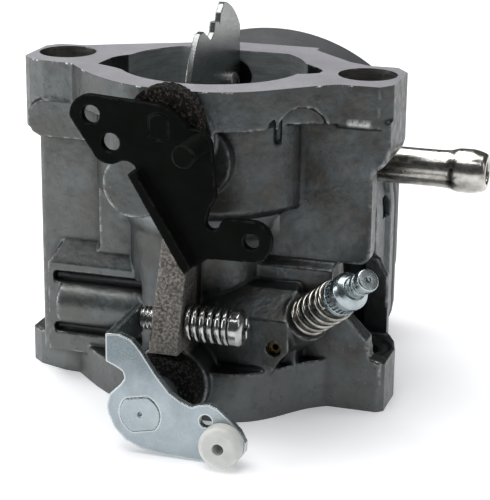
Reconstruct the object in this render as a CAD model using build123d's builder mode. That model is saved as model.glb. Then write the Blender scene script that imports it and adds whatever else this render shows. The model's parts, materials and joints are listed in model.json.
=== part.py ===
from build123d import *
import math
import os

# Side-draught float carburetor of a small engine, standing on its engine flange.
#
# Frame: origin at the centre of the throttle bore on the engine flange face, +Z along the bore
# towards the air inlet, -Y towards the lever side, +Y towards the float bowl, +X towards the fuel
# inlet. All lengths are in millimetres.

os.makedirs("parts", exist_ok=True)

# ---------------------------------------------------------------- driving dimensions
HEIGHT = 57.0  # engine flange face to air horn face
STUD_X = 27.0  # half the spacing of the two stud holes
STUD_R = 5.0  # stud holes in the air horn flange
STUD_R_ENGINE = 3.4  # stud holes in the engine flange
ENGINE_FLANGE = 6.5  # thickness of the engine flange
RAISED_FLANGE = 8.7  # top of its right half
LIP_Z = 50.4  # underside of the air horn flange at the front
EAR_Z = 44.5  # underside of the air horn flange ears

HORN_R = 16.0  # air horn
HORN_Y = -1.0  # the air horn is centred slightly to the front
HORN_BACK = 11.6  # flat back wall of the air horn
HORN_FLOOR = 36.0
VENTURI_R = 9.0
THROTTLE_R = 11.0  # throttle bore

THROTTLE_Z = 6.9  # throttle shaft height
THROTTLE_SHAFT_R = 3.4
CHOKE_Z = 52.2  # choke shaft height
CHOKE_SHAFT_R = 3.0
RUN = 0.05  # radial clearance of a running shaft

SEAL_R = 6.2  # foam shaft seals
THROTTLE_SEAL_Y = (-23.0, -28.2)
CHOKE_SEAL_Y = (-22.25, -26.3)
CHOKE_LEVER_Y = -26.5  # back face of the choke lever
CHOKE_LEVER_T = 1.5
THROTTLE_LEVER_Y = -36.0  # back face of the throttle lever
THROTTLE_LEVER_T = 1.2
TAB_X = -5.8  # outer edge of the throttle lever's tab
BUSHING_X, BUSHING_Z = 14.1, 3.9  # white bushing in the throttle lever

IDLE_Y, IDLE_Z = -22.0, 17.7  # idle speed screw axis, along X
POST_X = (-2.1, 2.8)  # the post that carries the idle speed screw
IDLE_TIP_X = -5.35
IDLE_HEAD_X, IDLE_HEAD_R, IDLE_HEAD_H = 10.7, 3.2, 2.3
IDLE_SPRING_R, IDLE_WIRE_R = 2.75, 0.48

MIX_BASE = Vector(18.9, -11.6, 15.9)  # a point on the mixture screw axis
MIX_DIR = Vector(0.62, -0.54, 0.56).normalized()  # the way out along the mixture screw
MIX_SEAT = 3.8  # where its spring rests, from MIX_BASE
MIX_BOSS_R = 4.15
MIX_COLLAR = (14.4, 18.8)  # the knurled collar
MIX_SPRING_R, MIX_WIRE_R = 3.15, 0.5

INLET_Y, INLET_Z = 10.0, 39.2  # fuel inlet tube axis, along X
TUBE_R, BARB_R = 3.25, 3.85  # its stem and its barb
BOWL_Z = 28.4  # float bowl axis, along Y
BOWL_FACE = 18.5  # bowl face of the casting
GASKET_T = 0.7
BOWL_END = 39.5
BOWL_WALL = 1.0
NEEDLE_X = 16.0
HINGE_X, HINGE_Y = 21.0, 20.8  # float hinge, along Z


# ---------------------------------------------------------------- planes and shapes
def facing(y):
    """Plane seen from the lever side: local x is +X, local y is +Z, normal -Y."""
    return Plane.XZ.offset(-y)


def across(x):
    """Plane across X: local x is +Y, local y is +Z, normal +X."""
    return Plane.YZ.offset(x)


def level(z):
    return Plane.XY.offset(z)


def outline(points, mode=Mode.ADD):
    with BuildLine() as edge:
        Polyline(*points, close=True)
    make_face(edge.edges(), mode=mode)


def mix_plane(t):
    """Plane across the mixture screw, t from MIX_BASE, normal the way out."""
    return Plane(origin=MIX_BASE + MIX_DIR * t, x_dir=(0.67, 0.74, 0), z_dir=MIX_DIR)


def disc(plane, radius, length, mode=Mode.ADD, at=(0, 0)):
    """A round bar from a plane along its normal."""
    with BuildSketch(plane) as section:
        with Locations(at):
            Circle(radius)
    extrude(section.sketch, amount=length, mode=mode)


def screw_head(plane, radius, height, mode=Mode.ADD):
    """Domed head that stands on a plane."""
    side = Plane(origin=plane.origin, x_dir=plane.x_dir, z_dir=-plane.y_dir)
    with BuildSketch(side) as section:
        with BuildLine():
            Line((0, 0), (radius, 0))
            Line((radius, 0), (radius, height * 0.62))
            ThreePointArc((radius, height * 0.62), (radius * 0.8, height * 0.9), (radius * 0.45, height))
            Line((radius * 0.45, height), (0, height))
            Line((0, height), (0, 0))
        make_face()
    revolve(section.sketch, axis=Axis(plane.origin, plane.z_dir), mode=mode)


def rim_outline(inset=0.0, mode=Mode.ADD):
    """Outline of the bowl rim: round above, square below."""
    r = 28.4 - inset
    low = 1.2 + inset
    corner = 9.5 - inset
    with BuildLine() as edge:
        ThreePointArc((-r, BOWL_Z), (0, BOWL_Z + r), (r, BOWL_Z))
        Line((r, BOWL_Z), (r, low + corner))
        ThreePointArc(
            (r, low + corner),
            (r - corner * (1 - math.sqrt(0.5)), low + corner * (1 - math.sqrt(0.5))),
            (r - corner, low),
        )
        Line((r - corner, low), (corner - r, low))
        ThreePointArc(
            (corner - r, low),
            (corner * (1 - math.sqrt(0.5)) - r, low + corner * (1 - math.sqrt(0.5))),
            (-r, low + corner),
        )
        Line((-r, low + corner), (-r, BOWL_Z))
    make_face(edge.edges(), mode=mode)


def bowl_outline(inset=0.0, mode=Mode.ADD):
    """Outline of the bowl's deep part."""
    w = 25.0 - inset
    low = 2.6 + inset
    with BuildLine() as edge:
        ThreePointArc((-19 + inset, 50.2 - inset), (0, 56.3 - inset), (19 - inset, 50.2 - inset))
        ThreePointArc((19 - inset, 50.2 - inset), (w - 1.6, 45.6 - inset), (w, 40))
        Line((w, 40), (w, 14))
        ThreePointArc((w, 14), (w - 3.2 + inset * 0.3, 5.8 + inset * 0.7), (w - 11, low))
        Line((w - 11, low), (11 - w, low))
        ThreePointArc((11 - w, low), (3.2 - inset * 0.3 - w, 5.8 + inset * 0.7), (-w, 14))
        Line((-w, 14), (-w, 40))
        ThreePointArc((-w, 40), (1.6 - w, 45.6 - inset), (inset - 19, 50.2 - inset))
    make_face(edge.edges(), mode=mode)


def horn_flange_outline(mode=Mode.ADD):
    """Air horn flange: two stud ears, a round front and a flat back."""
    with BuildLine() as edge:
        Spline(
            [
                (-22.6, -8.9),
                (-19.5, -12.4),
                (-14.9, -16.6),
                (-9.7, -19.9),
                (-3.9, -21.8),
                (2.0, -22.2),
                (9.5, -20.7),
                (15.2, -16.9),
                (20.2, -12.3),
                (24.2, -9.1),
            ],
            tangents=((0.62, -0.78), (0.8, 0.6)),
        )
        Polyline((24.2, -9.1), (31.2, -8.9), (33.0, -6.4), (33.0, 3.6), (30.6, 7.0), (25.6, 6.8))
        Polyline((25.6, 6.8), (21.9, 8.6), (13.6, 16.5), (13.6, BOWL_FACE), (-3.0, BOWL_FACE))
        Polyline((-3.0, BOWL_FACE), (-19.8, 10.0), (-26.4, 6.3), (-31.0, 5.9), (-32.7, 3.6))
        Polyline((-32.7, 3.6), (-32.7, -5.6), (-31.0, -7.6), (-28.3, -8.3), (-22.6, -8.9))
    make_face(edge.edges(), mode=mode)


def engine_flange_outline(mode=Mode.ADD):
    """Engine flange: the same two ears with a round front."""
    with BuildLine() as edge:
        Spline(
            [
                (-22.7, -7.4),
                (-17.6, -12.4),
                (-13.4, -15.8),
                (-7.5, -19.2),
                (0.0, -20.9),
                (7.5, -20.9),
                (12.0, -19.6),
                (16.4, -15.8),
                (20.5, -10.6),
                (23.6, -8.2),
            ],
            tangents=((0.7, -0.7), (0.85, 0.5)),
        )
        Polyline((23.6, -8.2), (32.3, -8.2), (33.3, -7.2), (33.3, 0.6), (32.4, 4.0), (31.0, 7.0))
        Polyline((31.0, 7.0), (20.0, 15.5), (-20.0, 15.5), (-31.0, 8.0), (-33.3, 4.0))
        Polyline((-33.3, 4.0), (-33.3, -3.4), (-31.0, -5.4), (-25.6, -7.2), (-22.7, -7.4))
    make_face(edge.edges(), mode=mode)


# ---------------------------------------------------------------- carburetor body
with BuildPart() as carburetor_body:
    # engine flange and air horn flange
    with BuildSketch(level(0)):
        engine_flange_outline()
    extrude(amount=ENGINE_FLANGE)
    with BuildSketch(level(LIP_Z)):
        horn_flange_outline()
    extrude(amount=HEIGHT - LIP_Z)
    # stud ears of the air horn flange
    with BuildSketch(level(EAR_Z)):
        outline(
            [
                (-32.7, -5.6),
                (-31.0, -7.6),
                (-28.3, -8.3),
                (-18, -8.6),
                (-18, 10.5),
                (-26.4, 6.3),
                (-31.0, 5.9),
                (-32.7, 3.6),
            ]
        )
    extrude(amount=LIP_Z - EAR_Z + 0.5)
    with BuildSketch(level(EAR_Z - 1.5)):
        outline(
            [(30.4, -8.3), (30.4, 7.0), (20, 9.5), (20, -8.3)]
        )
    extrude(amount=LIP_Z - EAR_Z + 2.0)
    with BuildSketch(facing(-8.0)):
        with BuildLine():
            Line((28, 42.4), (30.4, 42.4))
            ThreePointArc((30.4, 42.4), (32.4, 44.0), (33.0, 47.0))
            Line((33.0, 47.0), (33.0, 51))
            Line((33.0, 51), (28, 51))
            Line((28, 51), (28, 42.4))
        make_face()
    extrude(amount=-11.6)
    with BuildSketch(level(49.8)):
        outline([(24.2, -8.9), (31.2, -8.9), (32.6, -7.0), (32.6, -6.0), (24.2, -6.0)])
    extrude(amount=1.2)
    # raised pad on the left ear
    with BuildSketch(facing(-7.0)):
        with Locations((-24.2, 46.9)):
            SlotOverall(14.0, 6.6)
    extrude(amount=2.0)
    # column walls in front of the studs, the solid core and the bowl side wall
    with BuildSketch(level(4.0)) as core_sketch:
        outline(
            [
                (-29.8, -7.4),
                (-18.2, -7.4),
                (-18.2, -8.6),
                (-8, -8.6),
                (24, -8.3),
                (24, -5.1),
                (21.5, -5.1),
                (21.5, 8.8),
                (14.0, 15.4),
                (-8.0, 15.4),
                (-20.0, 9.4),
                (-21.5, 8.0),
                (-21.5, -5.1),
                (-29.8, -5.1),
            ]
        )
        corner = [v for v in core_sketch.vertices() if abs(v.X + 29.8) < 0.01 and v.Y < -7]
        fillet(corner, 1.2)
    extrude(amount=47.0)
    # right front wall, open below for the stud nut
    with BuildSketch(facing(-8.3)):
        with BuildLine():
            Polyline((16.8, 51), (16.8, 5.0), (32.8, 5.0), (32.8, 9.1), (30.8, 9.6), (30.4, 12.9), (26.2, 17.6))
            Polyline((26.2, 17.6), (24.8, 26.2), (28.2, 26.2))
            ThreePointArc((28.2, 26.2), (29.7, 26.8), (30.3, 28.4))
            Polyline((30.3, 28.4), (30.3, 51), (16.8, 51))
        make_face()
    extrude(amount=-3.2)
    # barrel: wide around the air horn, narrow around the throttle bore
    with BuildSketch(facing(HORN_Y)):
        with BuildLine():
            Polyline((0, 5), (14.4, 5), (14.4, 29.5))
            Line((14.4, 29.5), (15.6, 32.6))
            ThreePointArc((15.6, 32.6), (17.0, 34.6), (19.2, 35.4))
            Line((19.2, 35.4), (19.7, 36.2))
            Polyline((19.7, 36.2), (19.7, 52), (0, 52), (0, 5))
        make_face()
    revolve(axis=Axis((0, HORN_Y, 0), (0, 0, -1)), revolution_arc=180)
    # left lower block with its sloping ledge
    with BuildSketch(across(-27.4)):
        outline([(-4, 5), (-10.2, 5), (-10.2, 21.4), (-7.4, 25.2), (-4, 25.2)])
    extrude(amount=25.4)
    with BuildSketch(facing(-7.4)):
        outline([(-33, 26), (-24.9, 25.4), (-27.5, 21.2), (-33, 21.2)])
    extrude(amount=4.0, mode=Mode.SUBTRACT)
    # grooves above and below the long round boss, and the boss itself
    for groove in (18.0, 8.4):
        with BuildSketch(across(-26.2)):
            outline([(-8.8, groove), (-12.0, groove - 0.2), (-12.0, groove + 2.2), (-8.8, groove + 1.6)])
        extrude(amount=25.0, mode=Mode.SUBTRACT)
    disc(across(-24.8), 3.9, 24.0, at=(-9.2, 14.1))
    with BuildSketch(facing(-8.0)):
        outline([(-27.4, 6.4), (-16, 6.4), (-16, 8.6), (-25.8, 8.6)])
    extrude(amount=1.8)
    # right lower block: two ledges and the face that holds the metering orifice
    with BuildSketch(across(3.0)):
        outline(
            [
                (-4, ENGINE_FLANGE - 0.1),
                (-16.1, ENGINE_FLANGE - 0.1),
                (-17.4, 9.6),
                (-17.4, 17.9),
                (-12.3, 21.9),
                (-10.0, 22.6),
                (-4, 22.6),
            ]
        )
    extrude(amount=16.0)
    with BuildSketch(across(3.0)):
        outline([(-4, 20.0), (-10.0, 20.0), (-10.0, 25.1), (-8.3, 26.2), (-4, 26.2)])
    extrude(amount=21.4)
    with BuildSketch(facing(-12.6)):
        outline(
            [
                (20.5, 14.0),
                (17.4, 10.8),
                (16.2, RAISED_FLANGE),
                (15.2, ENGINE_FLANGE - 0.1),
                (21.0, ENGINE_FLANGE - 0.1),
                (21.0, 14.0),
            ]
        )
    extrude(amount=6.0, mode=Mode.SUBTRACT)
    # throttle shaft boss, idle screw post, choke shaft boss
    disc(facing(-8.0), 6.7, 15.0, at=(0, THROTTLE_Z))
    with BuildSketch(across(POST_X[0])):
        outline([(-8, 8), (-22.9, 8), (-22.9, 13.4), (-27.0, 13.4), (-27.0, 15.8), (-18.6, 36.6), (-8, 36.6)])
    extrude(amount=POST_X[1] - POST_X[0])
    disc(facing(-12.0), 7.2, 10.15, at=(0, 49.5))
    disc(facing(-12.0), 6.3, 8.8, at=(3.4, 45.2))
    # round pad on the barrel
    disc(facing(-10.0), 5.6, 10.2, at=(-7.2, 39.8))
    # mixture screw boss
    disc(mix_plane(-6.0), MIX_BOSS_R, MIX_SEAT + 6.0)
    # the right half of the engine flange stands higher
    with BuildSketch(level(ENGINE_FLANGE - 0.1)):
        engine_flange_outline()
        with Locations((-17.0, 0)):
            Rectangle(42.0, 60.0, mode=Mode.SUBTRACT)
        with Locations((12.0, 17.0)):
            Rectangle(60.0, 8.0, mode=Mode.SUBTRACT)
    extrude(amount=RAISED_FLANGE - ENGINE_FLANGE + 0.1)
    with BuildSketch(facing(6.6)):
        outline([(26, 8), (30.4, 8), (30.2, 19.5), (28.6, 22.5), (26, 23.5)])
    extrude(amount=-1.6)
    # bowl side wall and bowl face
    with BuildSketch(facing(7.4)):
        rim_outline(inset=0.7)
    extrude(amount=-9.0)
    with BuildSketch(facing(15.5)):
        rim_outline()
    extrude(amount=-(BOWL_FACE - 15.5))
    disc(facing(15.0), 5.5, -(BOWL_END - BOWL_WALL - 15.0 - 0.05), at=(0, BOWL_Z))

    # shallow arch recess under the air horn flange, with a narrow slot at its left
    arch_floor = Plane(origin=(18.9, -11.3, 0), x_dir=(0.914, 0.407, 0), z_dir=(0.407, -0.914, 0))
    with BuildSketch(arch_floor):
        with BuildLine():
            Line((-4.1, 48.0), (4.1, 48.0))
            Line((4.1, 48.0), (4.1, 50.2))
            ThreePointArc((4.1, 50.2), (0.6, 53.4), (-4.1, 51.4))
            Line((-4.1, 51.4), (-4.1, 48.0))
        make_face()
    extrude(amount=8.0, mode=Mode.SUBTRACT)
    with BuildSketch(facing(-12.4)):
        outline([(14.9, 47.2), (15.9, 47.2), (15.9, 52.2), (14.9, 51.4)])
    extrude(amount=8.0, mode=Mode.SUBTRACT)
    # air horn, its two pointed pockets, venturi and throttle bore
    with BuildSketch(level(HORN_FLOOR)):
        with Locations((0, HORN_Y)):
            Circle(HORN_R)
        with Locations((0, HORN_BACK + 5)):
            Rectangle(40, 10, mode=Mode.SUBTRACT)
    extrude(amount=30.0, mode=Mode.SUBTRACT)
    with BuildSketch(level(HEIGHT - 5.0)):
        outline([(-10, -12.6), (-14.5, -9.4), (-18.4, -7.6), (-18.0, -2.0), (-17.4, -0.4), (-15.4, 2.2), (-10, 2)])
        outline([(12, 5.8), (15.4, 4.4), (18.0, 2.0), (19.2, 0.2), (19.1, -1.8), (17.0, -3.2), (12, -5)])
    extrude(amount=8.0, mode=Mode.SUBTRACT)
    disc(level(44.0), 1.2, 10.0, mode=Mode.SUBTRACT, at=(-16.2, -4.4))
    with BuildSketch(Plane.XZ):
        with BuildLine():
            Polyline((0, -1), (THROTTLE_R, -1), (THROTTLE_R, 20.5))
            Line((THROTTLE_R, 20.5), (VENTURI_R, 26.5))
            ThreePointArc((VENTURI_R, 26.5), (9.6, 32.0), (11.4, 37))
            Polyline((11.4, 37), (0, 37), (0, -1))
        make_face()
    revolve(axis=Axis.Z, mode=Mode.SUBTRACT)
    # stud holes and their open channels
    for side, nut_seat in ((-1, ENGINE_FLANGE + 1.0), (1, RAISED_FLANGE - 0.5)):
        disc(level(EAR_Z - 3), STUD_R, 30.0, mode=Mode.SUBTRACT, at=(side * STUD_X, 0))
        disc(level(-1), STUD_R_ENGINE, 20.0, mode=Mode.SUBTRACT, at=(side * STUD_X, 0))
        disc(level(nut_seat), 5.5, 20.0, mode=Mode.SUBTRACT, at=(side * STUD_X, 0))
    # shaft bores
    disc(facing(14.5), THROTTLE_SHAFT_R + RUN, 40.0, mode=Mode.SUBTRACT, at=(0, THROTTLE_Z))
    disc(facing(15.0), CHOKE_SHAFT_R + RUN, 40.0, mode=Mode.SUBTRACT, at=(0, CHOKE_Z))
    # idle speed screw hole
    disc(across(-6.0), 2.06, 14.0, mode=Mode.SUBTRACT, at=(IDLE_Y, IDLE_Z))
    # mixture screw spring seat, bore and idle port
    disc(mix_plane(MIX_SEAT), MIX_BOSS_R + 0.05, 12.0, mode=Mode.SUBTRACT)
    disc(mix_plane(-4.2), 2.56, 20.0, mode=Mode.SUBTRACT)
    disc(mix_plane(-11.0), 1.45, 20.0, mode=Mode.SUBTRACT)
    disc(mix_plane(-16.0), 0.6, 8.0, mode=Mode.SUBTRACT)
    # metering orifice bore
    disc(facing(-18.0), 1.25, -5.0, mode=Mode.SUBTRACT, at=(16.4, 12.9))
    # fuel inlet: tube bore, feed passages and needle seat bore
    disc(across(18.5), TUBE_R, 12.0, mode=Mode.SUBTRACT, at=(INLET_Y, INLET_Z))
    disc(across(NEEDLE_X), 1.2, 6.0, mode=Mode.SUBTRACT, at=(INLET_Y, INLET_Z))
    disc(level(BOWL_Z - 2), 1.4, INLET_Z - BOWL_Z + 4, mode=Mode.SUBTRACT, at=(NEEDLE_X, INLET_Y))
    disc(facing(INLET_Y), 1.0, -4.0, mode=Mode.SUBTRACT, at=(NEEDLE_X, BOWL_Z))
    disc(facing(11.4), 2.8, -10.0, mode=Mode.SUBTRACT, at=(NEEDLE_X, BOWL_Z))
    # float chamber roof, with the centre post left standing
    with BuildSketch(facing(16.2)):
        bowl_outline(inset=1.2)
        with Locations((0, BOWL_Z)):
            Circle(5.5, mode=Mode.SUBTRACT)
    extrude(amount=-5.0, mode=Mode.SUBTRACT)
    # main nozzle, jet and bowl bolt bores in the centre post
    disc(facing(5.0), 2.2, -21.0, mode=Mode.SUBTRACT, at=(0, BOWL_Z))
    disc(facing(26.0), 3.0, -20.0, mode=Mode.SUBTRACT, at=(0, BOWL_Z))
    disc(across(-8.0), 1.0, 16.0, mode=Mode.SUBTRACT, at=(29.9, BOWL_Z))
    # slot in the bowl side wall
    with BuildSketch(across(25.6)):
        with Locations((14.0, 30.1)):
            Rectangle(3.0, 3.8)
    extrude(amount=4.0, mode=Mode.SUBTRACT)
    # float hinge ears
    with BuildSketch(facing(16.2)):
        with Locations((HINGE_X, BOWL_Z - 5.2), (HINGE_X, BOWL_Z + 5.2)):
            Rectangle(3.6, 2.4)
    extrude(amount=-6.4)
    disc(level(BOWL_Z - 8), 0.82, 16.0, mode=Mode.SUBTRACT, at=(HINGE_X, HINGE_Y))

# ---------------------------------------------------------------- throttle
with BuildPart() as throttle_shaft:
    disc(facing(14.0), THROTTLE_SHAFT_R, 14.0 - THROTTLE_LEVER_Y, at=(0, THROTTLE_Z))
    # double-D end that the lever is staked on
    with BuildSketch(facing(THROTTLE_LEVER_Y)):
        with Locations((0, THROTTLE_Z)):
            Circle(THROTTLE_SHAFT_R)
            Rectangle(8, 5.7, rotation=12, mode=Mode.INTERSECT)
    extrude(amount=THROTTLE_LEVER_T + 0.15)
    disc(facing(THROTTLE_LEVER_Y - THROTTLE_LEVER_T - 0.3), 0.35, -0.6, mode=Mode.SUBTRACT, at=(0, THROTTLE_Z))
    # flat for the throttle plate
    with BuildSketch(facing(THROTTLE_R)):
        with Locations((0, THROTTLE_Z + 2.5)):
            Rectangle(8, 5)
    extrude(amount=2 * THROTTLE_R, mode=Mode.SUBTRACT)
    for y in (-5.0, 5.0):
        disc(level(THROTTLE_Z - 5), 1.25, 10.0, mode=Mode.SUBTRACT, at=(0, y))

with BuildPart() as throttle_plate:
    disc(level(THROTTLE_Z), THROTTLE_R - 0.15, 1.0)
    for y in (-5.0, 5.0):
        disc(level(THROTTLE_Z - 1), 1.3, 4.0, mode=Mode.SUBTRACT, at=(0, y))

with BuildPart() as throttle_plate_screws:
    for y in (-5.0, 5.0):
        screw_head(Plane(origin=(0, y, THROTTLE_Z + 1.0), x_dir=(1, 0, 0), z_dir=(0, 0, 1)), 2.2, 1.4)
        disc(level(THROTTLE_Z + 1.0), 1.2, -4.2, at=(0, y))
        with BuildSketch(level(THROTTLE_Z + 2.4)):
            with Locations((0, y)):
                Rectangle(2.4, 0.6)
                Rectangle(0.6, 2.4)
        extrude(amount=-0.8, mode=Mode.SUBTRACT)

with BuildPart() as throttle_lever:
    with BuildSketch(facing(THROTTLE_LEVER_Y)) as throttle_lever_sketch:
        outline(
            [
                (TAB_X, 20.1),
                (-3.3, 20.2),
                (-1.3, 19.5),
                (0.1, 17.9),
                (2.6, 14.2),
                (5.0, 11.3),
                (7.0, 10.0),
                (8.7, 9.3),
                (9.8, 9.8),
                (11.6, 10.1),
                (13.2, 9.6),
                (15.2, 7.9),
                (16.9, 6.2),
                (17.9, 4.3),
                (17.8, 2.7),
                (16.1, 0.6),
                (13.2, 0.1),
                (9.0, 0.2),
                (3.8, 0.4),
                (0.2, 0.9),
                (-2.6, 2.1),
                (-4.4, 3.9),
                (-5.5, 6.3),
                (-5.7, 7.9),
                (-5.2, 9.8),
                (-3.4, 11.6),
                (-2.6, 12.8),
                (-2.9, 13.9),
                (-4.1, 14.6),
                (TAB_X, 15.3),
            ]
        )
        soft = [v for v in throttle_lever_sketch.vertices() if v.X > TAB_X + 0.05]
        fillet(soft, 0.35)
    extrude(amount=THROTTLE_LEVER_T)
    # tab bent back to meet the idle speed screw
    tab_plane = Plane(
        origin=(TAB_X, THROTTLE_LEVER_Y - THROTTLE_LEVER_T, 0), x_dir=(-0.06, 1, 0), z_dir=(1, 0.06, 0)
    )
    with BuildSketch(tab_plane):
        outline([(0, 15.3), (1.2, 15.0), (16.6, 14.6), (16.6, 19.6), (0, 20.1)])
    extrude(amount=THROTTLE_LEVER_T)
    with BuildSketch(facing(THROTTLE_LEVER_Y + 1)):
        with Locations((0, THROTTLE_Z)):
            Circle(THROTTLE_SHAFT_R)
            Rectangle(8, 5.7, rotation=12, mode=Mode.INTERSECT)
    extrude(amount=5, mode=Mode.SUBTRACT)
    disc(facing(-35), 1.05, 5.0, mode=Mode.SUBTRACT, at=(11.15, 7.2))
    disc(facing(-35), 2.3, 5.0, mode=Mode.SUBTRACT, at=(BUSHING_X, BUSHING_Z))

with BuildPart() as throttle_lever_bushing:
    with BuildSketch(Plane(origin=(BUSHING_X, THROTTLE_LEVER_Y + 1.2, BUSHING_Z), x_dir=(1, 0, 0), z_dir=(0, 0, 1))):
        with BuildLine():
            Polyline((0.95, 0), (2.7, 0), (2.7, -1.15), (2.25, -1.15), (2.25, -2.42), (3.5, -2.42), (3.5, -4.3))
            ThreePointArc((3.5, -4.3), (3.2, -5.0), (2.4, -5.3))
            Polyline((2.4, -5.3), (0.95, -5.3), (0.95, 0))
        make_face()
    revolve(axis=Axis((BUSHING_X, 0, BUSHING_Z), (0, 1, 0)))

with BuildPart() as throttle_shaft_seal:
    with BuildSketch(facing(THROTTLE_SEAL_Y[0])):
        with Locations((0, THROTTLE_Z)):
            Circle(SEAL_R)
            Circle(THROTTLE_SHAFT_R + RUN, mode=Mode.SUBTRACT)
    extrude(amount=THROTTLE_SEAL_Y[0] - THROTTLE_SEAL_Y[1])

# ---------------------------------------------------------------- choke
with BuildPart() as choke_shaft:
    disc(facing(14.5), CHOKE_SHAFT_R, 14.5 - CHOKE_LEVER_Y, at=(0, CHOKE_Z))
    with BuildSketch(facing(CHOKE_LEVER_Y)):
        with Locations((0, CHOKE_Z)):
            Circle(2.2)
            Rectangle(3.2, 6, mode=Mode.INTERSECT)
    extrude(amount=CHOKE_LEVER_T)
    # flat for the choke plate
    with BuildSketch(facing(HORN_BACK)):
        with Locations((2.5, CHOKE_Z)):
            Rectangle(5, 8)
    extrude(amount=HORN_BACK + 16.6, mode=Mode.SUBTRACT)
    for y in (-8.0, 5.5):
        disc(across(-5), 1.25, 10.0, mode=Mode.SUBTRACT, at=(y, CHOKE_Z))

with BuildPart() as choke_plate:
    # round plate, flat at the back, with a stepped free edge above
    with BuildSketch(across(0)):
        with Locations((-0.7, CHOKE_Z)):
            Circle(15.3)
        with Locations((HORN_BACK + 4.8, CHOKE_Z)):
            Rectangle(10, 40, mode=Mode.SUBTRACT)
        with BuildLine():
            Polyline((-11.2, 70), (-11.2, 63.9), (-8.6, 64.0), (-4.9, 61.9), (-3.2, 62.8), (-2.7, 64.6))
            Polyline((-2.7, 64.6), (-1.0, 64.5), (-0.2, 63.8), (0.4, 65.6), (2.0, 66.9), (2.0, 70), (-11.2, 70))
        make_face(mode=Mode.SUBTRACT)
    extrude(amount=1.0)
    for y in (-8.0, 5.5):
        disc(across(-1), 1.3, 4.0, mode=Mode.SUBTRACT, at=(y, CHOKE_Z))

with BuildPart() as choke_plate_screws:
    for y in (-8.0, 5.5):
        screw_head(Plane(origin=(1.0, y, CHOKE_Z), x_dir=(0, 1, 0), z_dir=(1, 0, 0)), 2.2, 1.4)
        disc(across(1.0), 1.2, -4.2, at=(y, CHOKE_Z))
        with BuildSketch(across(2.4)):
            with Locations((y, CHOKE_Z)):
                Rectangle(2.4, 0.6)
                Rectangle(0.6, 2.4)
        extrude(amount=-0.8, mode=Mode.SUBTRACT)

with BuildPart() as choke_lever:
    with BuildSketch(facing(CHOKE_LEVER_Y)):
        with BuildLine():
            ThreePointArc((-15.1, 52.6), (-14.4, 55.3), (-11.6, 56.5))
            Line((-11.6, 56.5), (-0.1, 55.8))
            ThreePointArc((-0.1, 55.8), (3.2, 54.2), (5.0, 52.2))
            ThreePointArc((5.0, 52.2), (7.2, 51.9), (8.7, 50.2))
            Polyline((8.7, 50.2), (9.3, 45.0), (9.5, 41.3), (8.4, 39.5), (8.0, 37.8))
            ThreePointArc((8.0, 37.8), (9.0, 36.1), (10.2, 37.2))
            ThreePointArc((10.2, 37.2), (10.9, 37.9), (12.0, 38.2))
            Line((12.0, 38.2), (15.6, 38.2))
            ThreePointArc((15.6, 38.2), (18.9, 34.9), (15.6, 31.4))
            Polyline((15.6, 31.4), (8.4, 31.2), (6.0, 29.6), (4.4, 31.4), (-4.0, 45.3))
            ThreePointArc((-4.0, 45.3), (-5.2, 46.1), (-6.6, 46.0))
            ThreePointArc((-6.6, 46.0), (-9.3, 45.5), (-11.2, 47.0))
            Line((-11.2, 47.0), (-15.1, 52.6))
        make_face()
        with Locations((-11.5, 53.3), (-8.2, 49.0)):
            Circle(1.55, mode=Mode.SUBTRACT)
        with Locations((15.5, 34.8)):
            Circle(1.3, mode=Mode.SUBTRACT)
        with Locations((6.8, 49.9)):
            Circle(1.2, mode=Mode.SUBTRACT)
    extrude(amount=CHOKE_LEVER_T)
    with BuildSketch(facing(CHOKE_LEVER_Y + 1)):
        with Locations((0, CHOKE_Z)):
            Circle(2.2)
            Rectangle(3.2, 6, mode=Mode.INTERSECT)
    extrude(amount=4, mode=Mode.SUBTRACT)
    # lip bent forward along the long edge
    with BuildSketch(facing(CHOKE_LEVER_Y)):
        outline([(-4.6, 44.6), (-3.3, 45.2), (6.2, 30.0), (5.0, 28.9), (4.0, 30.2)])
    extrude(amount=3.6)

with BuildPart() as choke_lever_stud:
    disc(facing(CHOKE_LEVER_Y), 1.2, CHOKE_LEVER_T, at=(6.8, 49.9))
    disc(facing(CHOKE_LEVER_Y - CHOKE_LEVER_T), 1.9, 8.0, at=(6.8, 49.9))
    chamfer(choke_lever_stud.edges().sort_by(Axis.Y)[0], 0.3)

with BuildPart() as choke_shaft_seal:
    with BuildSketch(facing(CHOKE_SEAL_Y[0])):
        with Locations((0, CHOKE_Z)):
            Circle(SEAL_R)
            Circle(CHOKE_SHAFT_R + RUN, mode=Mode.SUBTRACT)
    extrude(amount=CHOKE_SEAL_Y[0] - CHOKE_SEAL_Y[1])

# ---------------------------------------------------------------- idle speed screw
with BuildPart() as idle_speed_screw:
    disc(across(IDLE_TIP_X + 0.55), 2.0, IDLE_HEAD_X - IDLE_TIP_X, at=(IDLE_Y, IDLE_Z))
    with BuildSketch(across(IDLE_TIP_X + 0.55)):
        with Locations((IDLE_Y, IDLE_Z)):
            Circle(2.0)
    extrude(amount=-0.55, taper=45)
    screw_head(
        Plane(origin=(IDLE_HEAD_X, IDLE_Y, IDLE_Z), x_dir=(0, 1, 0), z_dir=(1, 0, 0)),
        IDLE_HEAD_R,
        IDLE_HEAD_H,
    )
    with BuildSketch(across(IDLE_HEAD_X + IDLE_HEAD_H + 0.1)):
        with Locations((IDLE_Y, IDLE_Z)):
            Rectangle(3.6, 0.9)
            Rectangle(0.9, 3.6)
    extrude(amount=-1.6, mode=Mode.SUBTRACT)

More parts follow.
